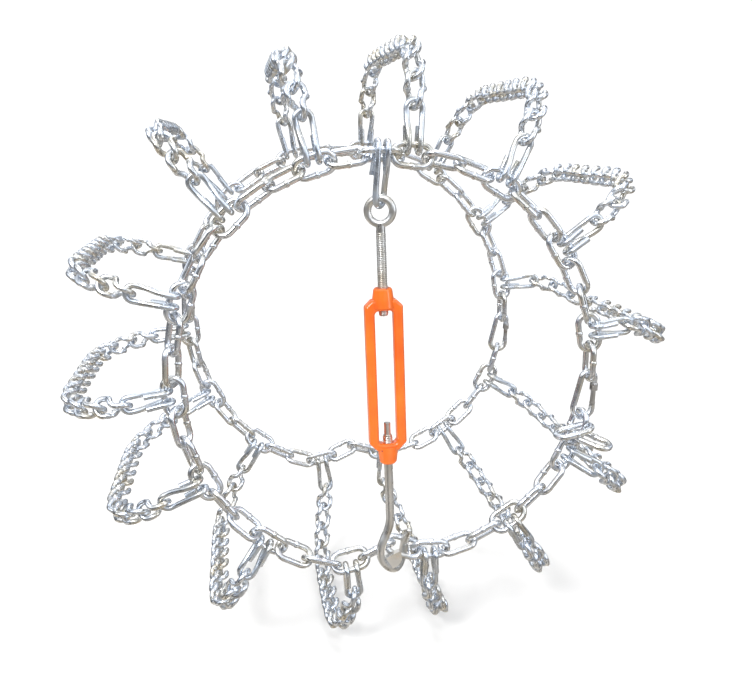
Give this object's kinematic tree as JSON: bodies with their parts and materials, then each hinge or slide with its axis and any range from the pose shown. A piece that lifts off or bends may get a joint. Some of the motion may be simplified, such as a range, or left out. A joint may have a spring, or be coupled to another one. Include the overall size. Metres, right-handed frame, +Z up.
{
  "type": "tire snow chain",
  "caption": "Ladder-pattern snow chain for a small tractor tyre, fitted shape: two side chains, twisted cross chains on prong hooks, snap link closures and an orange turnbuckle tensioner.",
  "frame": {"origin": "centre of the wheel the chain is fitted to, on the axle line, halfway between the two side chains", "axes": "Y is the axle: -Y points out of the wheel on the tensioner side; +Z is up; +X points to the side where the chain is closed by the snap links"},
  "size_m": [0.4816, 0.2468, 0.4792],
  "materials": {
    "zinc_side": "bright zinc plate",
    "zinc_cross": "bright zinc plate",
    "zinc_bolt": "zinc plate, slightly dulled",
    "orange_enamel": "gloss orange enamel"
  },
  "bodies": {
    "chain_base": {"side_links_08": "zinc_side", "side_links_09": "zinc_side", "side_links_10": "zinc_side", "side_links_11": "zinc_side", "side_links_12": "zinc_side", "side_links_13": "zinc_side", "side_links_14": "zinc_side", "side_links_anchor": "zinc_side"},
    "rung_01": {"side_links_01": "zinc_side"},
    "rung_02": {"side_links_02": "zinc_side"},
    "rung_03": {"side_links_03": "zinc_side"},
    "rung_04": {"side_links_04": "zinc_side"},
    "rung_05": {"side_links_05": "zinc_side"},
    "rung_06": {"side_links_06": "zinc_side"},
    "rung_07": {"side_links_07": "zinc_side"},
    "cross_chain_01": {"cross_links_01": "zinc_cross", "cross_hooks_01": "zinc_cross"},
    "cross_chain_02": {"cross_links_02": "zinc_cross", "cross_hooks_02": "zinc_cross"},
    "cross_chain_03": {"cross_links_03": "zinc_cross", "cross_hooks_03": "zinc_cross"},
    "cross_chain_04": {"cross_links_04": "zinc_cross", "cross_hooks_04": "zinc_cross"},
    "cross_chain_05": {"cross_links_05": "zinc_cross", "cross_hooks_05": "zinc_cross"},
    "cross_chain_06": {"cross_links_06": "zinc_cross", "cross_hooks_06": "zinc_cross"},
    "cross_chain_07": {"cross_links_07": "zinc_cross", "cross_hooks_07": "zinc_cross"},
    "cross_chain_08": {"cross_links_08": "zinc_cross", "cross_hooks_08": "zinc_cross"},
    "cross_chain_09": {"cross_links_09": "zinc_cross", "cross_hooks_09": "zinc_cross"},
    "cross_chain_10": {"cross_links_10": "zinc_cross", "cross_hooks_10": "zinc_cross"},
    "cross_chain_11": {"cross_links_11": "zinc_cross", "cross_hooks_11": "zinc_cross"},
    "cross_chain_12": {"cross_links_12": "zinc_cross", "cross_hooks_12": "zinc_cross"},
    "cross_chain_13": {"cross_links_13": "zinc_cross", "cross_hooks_13": "zinc_cross"},
    "cross_chain_14": {"cross_links_14": "zinc_cross", "cross_hooks_14": "zinc_cross"},
    "turnbuckle_body": {"turnbuckle_body": "orange_enamel"},
    "eye_bolt": {"eye_bolt": "zinc_bolt"},
    "hook_bolt": {"hook_bolt": "zinc_bolt"},
    "connector_hook": {"connector_hook": "zinc_bolt"},
    "outer_snap_link": {"outer_snap_link": "zinc_side"},
    "inner_snap_link": {"inner_snap_link": "zinc_side"},
    "outer_gate": {"outer_snap_gate": "zinc_side"},
    "inner_gate": {"inner_snap_gate": "zinc_side"},
    "slack_link_a": {"slack_link_a": "zinc_side"},
    "slack_link_b": {"slack_link_b": "zinc_side"}
  },
  "joints": [
    {"name": "ladder_01", "type": "hinge", "parent": "chain_base", "child": "rung_01", "pos_m": [0.00248, 0, 0.15853], "axis": [0, -1, 0], "range_deg": [0, 24]},
    {"name": "ladder_02", "type": "hinge", "parent": "rung_01", "child": "rung_02", "pos_m": [0.06815, 0, 0.14359], "axis": [0, -1, 0], "range_deg": [0, 24]},
    {"name": "ladder_03", "type": "hinge", "parent": "rung_02", "child": "rung_03", "pos_m": [0.11923, 0, 0.10001], "axis": [0, -1, 0], "range_deg": [0, 24]},
    {"name": "ladder_04", "type": "hinge", "parent": "rung_03", "child": "rung_04", "pos_m": [0.14865, 0, 0.03941], "axis": [0, -1, 0], "range_deg": [0, 24]},
    {"name": "ladder_07", "type": "hinge", "parent": "chain_base", "child": "rung_07", "pos_m": [0.02032, 0, -0.13984], "axis": [0, 1, 0], "range_deg": [0, 24]},
    {"name": "ladder_06", "type": "hinge", "parent": "rung_07", "child": "rung_06", "pos_m": [0.08442, 0, -0.12477], "axis": [0, 1, 0], "range_deg": [0, 24]},
    {"name": "ladder_05", "type": "hinge", "parent": "rung_06", "child": "rung_05", "pos_m": [0.13278, 0, -0.07815], "axis": [0, 1, 0], "range_deg": [0, 24]},
    {"name": "cross_swing_01", "type": "hinge", "parent": "rung_01", "child": "cross_chain_01", "pos_m": [0.0144, 0, 0.1646], "axis": [0, 1, 0], "range_deg": [-5, 5]},
    {"name": "cross_swing_02", "type": "hinge", "parent": "rung_02", "child": "cross_chain_02", "pos_m": [0.08142, 0, 0.14378], "axis": [0, 1, 0], "range_deg": [-5, 5]},
    {"name": "cross_swing_03", "type": "hinge", "parent": "rung_03", "child": "cross_chain_03", "pos_m": [0.13125, 0, 0.09438], "axis": [0, 1, 0], "range_deg": [-5, 5]},
    {"name": "cross_swing_04", "type": "hinge", "parent": "rung_04", "child": "cross_chain_04", "pos_m": [0.15763, 0, 0.0295], "axis": [0, 1, 0], "range_deg": [-5, 5]},
    {"name": "cross_swing_05", "type": "hinge", "parent": "rung_05", "child": "cross_chain_05", "pos_m": [0.14412, 0, -0.07113], "axis": [0, 1, 0], "range_deg": [-5, 5]},
    {"name": "cross_swing_06", "type": "hinge", "parent": "rung_06", "child": "cross_chain_06", "pos_m": [0.09734, 0, -0.12352], "axis": [0, 1, 0], "range_deg": [-5, 5]},
    {"name": "cross_swing_07", "type": "hinge", "parent": "rung_07", "child": "cross_chain_07", "pos_m": [0.03149, 0, -0.14756], "axis": [0, 1, 0], "range_deg": [-3.5, 3.5]},
    {"name": "cross_swing_08", "type": "hinge", "parent": "chain_base", "child": "cross_chain_08", "pos_m": [-0.0309, 0, -0.1503], "axis": [0, 1, 0], "range_deg": [-3.5, 3.5]},
    {"name": "cross_swing_09", "type": "hinge", "parent": "chain_base", "child": "cross_chain_09", "pos_m": [-0.09706, 0, -0.12756], "axis": [0, 1, 0], "range_deg": [-5, 5]},
    {"name": "cross_swing_10", "type": "hinge", "parent": "chain_base", "child": "cross_chain_10", "pos_m": [-0.14257, 0, -0.07424], "axis": [0, 1, 0], "range_deg": [-5, 5]},
    {"name": "cross_swing_11", "type": "hinge", "parent": "chain_base", "child": "cross_chain_11", "pos_m": [-0.1614, 0, -0.00678], "axis": [0, 1, 0], "range_deg": [-5, 5]},
    {"name": "cross_swing_12", "type": "hinge", "parent": "chain_base", "child": "cross_chain_12", "pos_m": [-0.15315, 0, 0.06275], "axis": [0, 1, 0], "range_deg": [-5, 5]},
    {"name": "cross_swing_13", "type": "hinge", "parent": "chain_base", "child": "cross_chain_13", "pos_m": [-0.11579, 0, 0.12226], "axis": [0, 1, 0], "range_deg": [-5, 5]},
    {"name": "cross_swing_14", "type": "hinge", "parent": "chain_base", "child": "cross_chain_14", "pos_m": [-0.05521, 0, 0.15775], "axis": [0, 1, 0], "range_deg": [-5, 5]},
    {"name": "tensioner_turn", "type": "hinge", "parent": "chain_base", "child": "turnbuckle_body", "pos_m": [-0.006, -0.11385, 0], "axis": [-0.0321, 0.0206, 0.9993], "range_deg": [-1080, 0]},
    {"name": "eye_bolt_travel", "type": "slide", "parent": "chain_base", "child": "eye_bolt", "axis": [-0.0321, 0.0206, 0.9993], "range_m": [0, 0.00381]},
    {"name": "hook_bolt_travel", "type": "slide", "parent": "chain_base", "child": "hook_bolt", "axis": [0.0321, -0.0206, -0.9993], "range_m": [0, 0.00381]},
    {"name": "connector_swing", "type": "hinge", "parent": "eye_bolt", "child": "connector_hook", "pos_m": [-0.01017, -0.11118, 0.12981], "axis": [0.9986, -0.0011, -0.0533], "range_deg": [-1, 1]},
    {"name": "outer_snap_link_swing", "type": "hinge", "parent": "rung_04", "child": "outer_snap_link", "pos_m": [0.15287, -0.104, -0.00542], "axis": [0, -1, 0], "range_deg": [0, 20]},
    {"name": "outer_gate_hinge", "type": "hinge", "parent": "outer_snap_link", "child": "outer_gate", "pos_m": [0.15771, -0.104, -0.01299], "axis": [0, 1, 0], "range_deg": [0, 18]},
    {"name": "inner_snap_link_swing", "type": "hinge", "parent": "rung_04", "child": "inner_snap_link", "pos_m": [0.15287, 0.104, -0.00542], "axis": [0, -1, 0], "range_deg": [0, 20]},
    {"name": "inner_gate_hinge", "type": "hinge", "parent": "inner_snap_link", "child": "inner_gate", "pos_m": [0.15771, 0.104, -0.01299], "axis": [0, 1, 0], "range_deg": [0, 18]},
    {"name": "slack_link_a_swing", "type": "hinge", "parent": "rung_05", "child": "slack_link_a", "pos_m": [0.148, -0.11089, -0.04764], "axis": [-0.2763, 0, -0.9611], "range_deg": [0, 8]},
    {"name": "slack_link_b_swing", "type": "hinge", "parent": "rung_05", "child": "slack_link_b", "pos_m": [0.148, -0.11089, -0.04764], "axis": [-0.2763, 0, -0.9611], "range_deg": [-8, 0]}
  ],
  "couplings": [
    {"joint": "eye_bolt_travel", "follows": "tensioner_turn", "m_per_rad": -0.00020213},
    {"joint": "hook_bolt_travel", "follows": "tensioner_turn", "m_per_rad": -0.00020213}
  ]
}
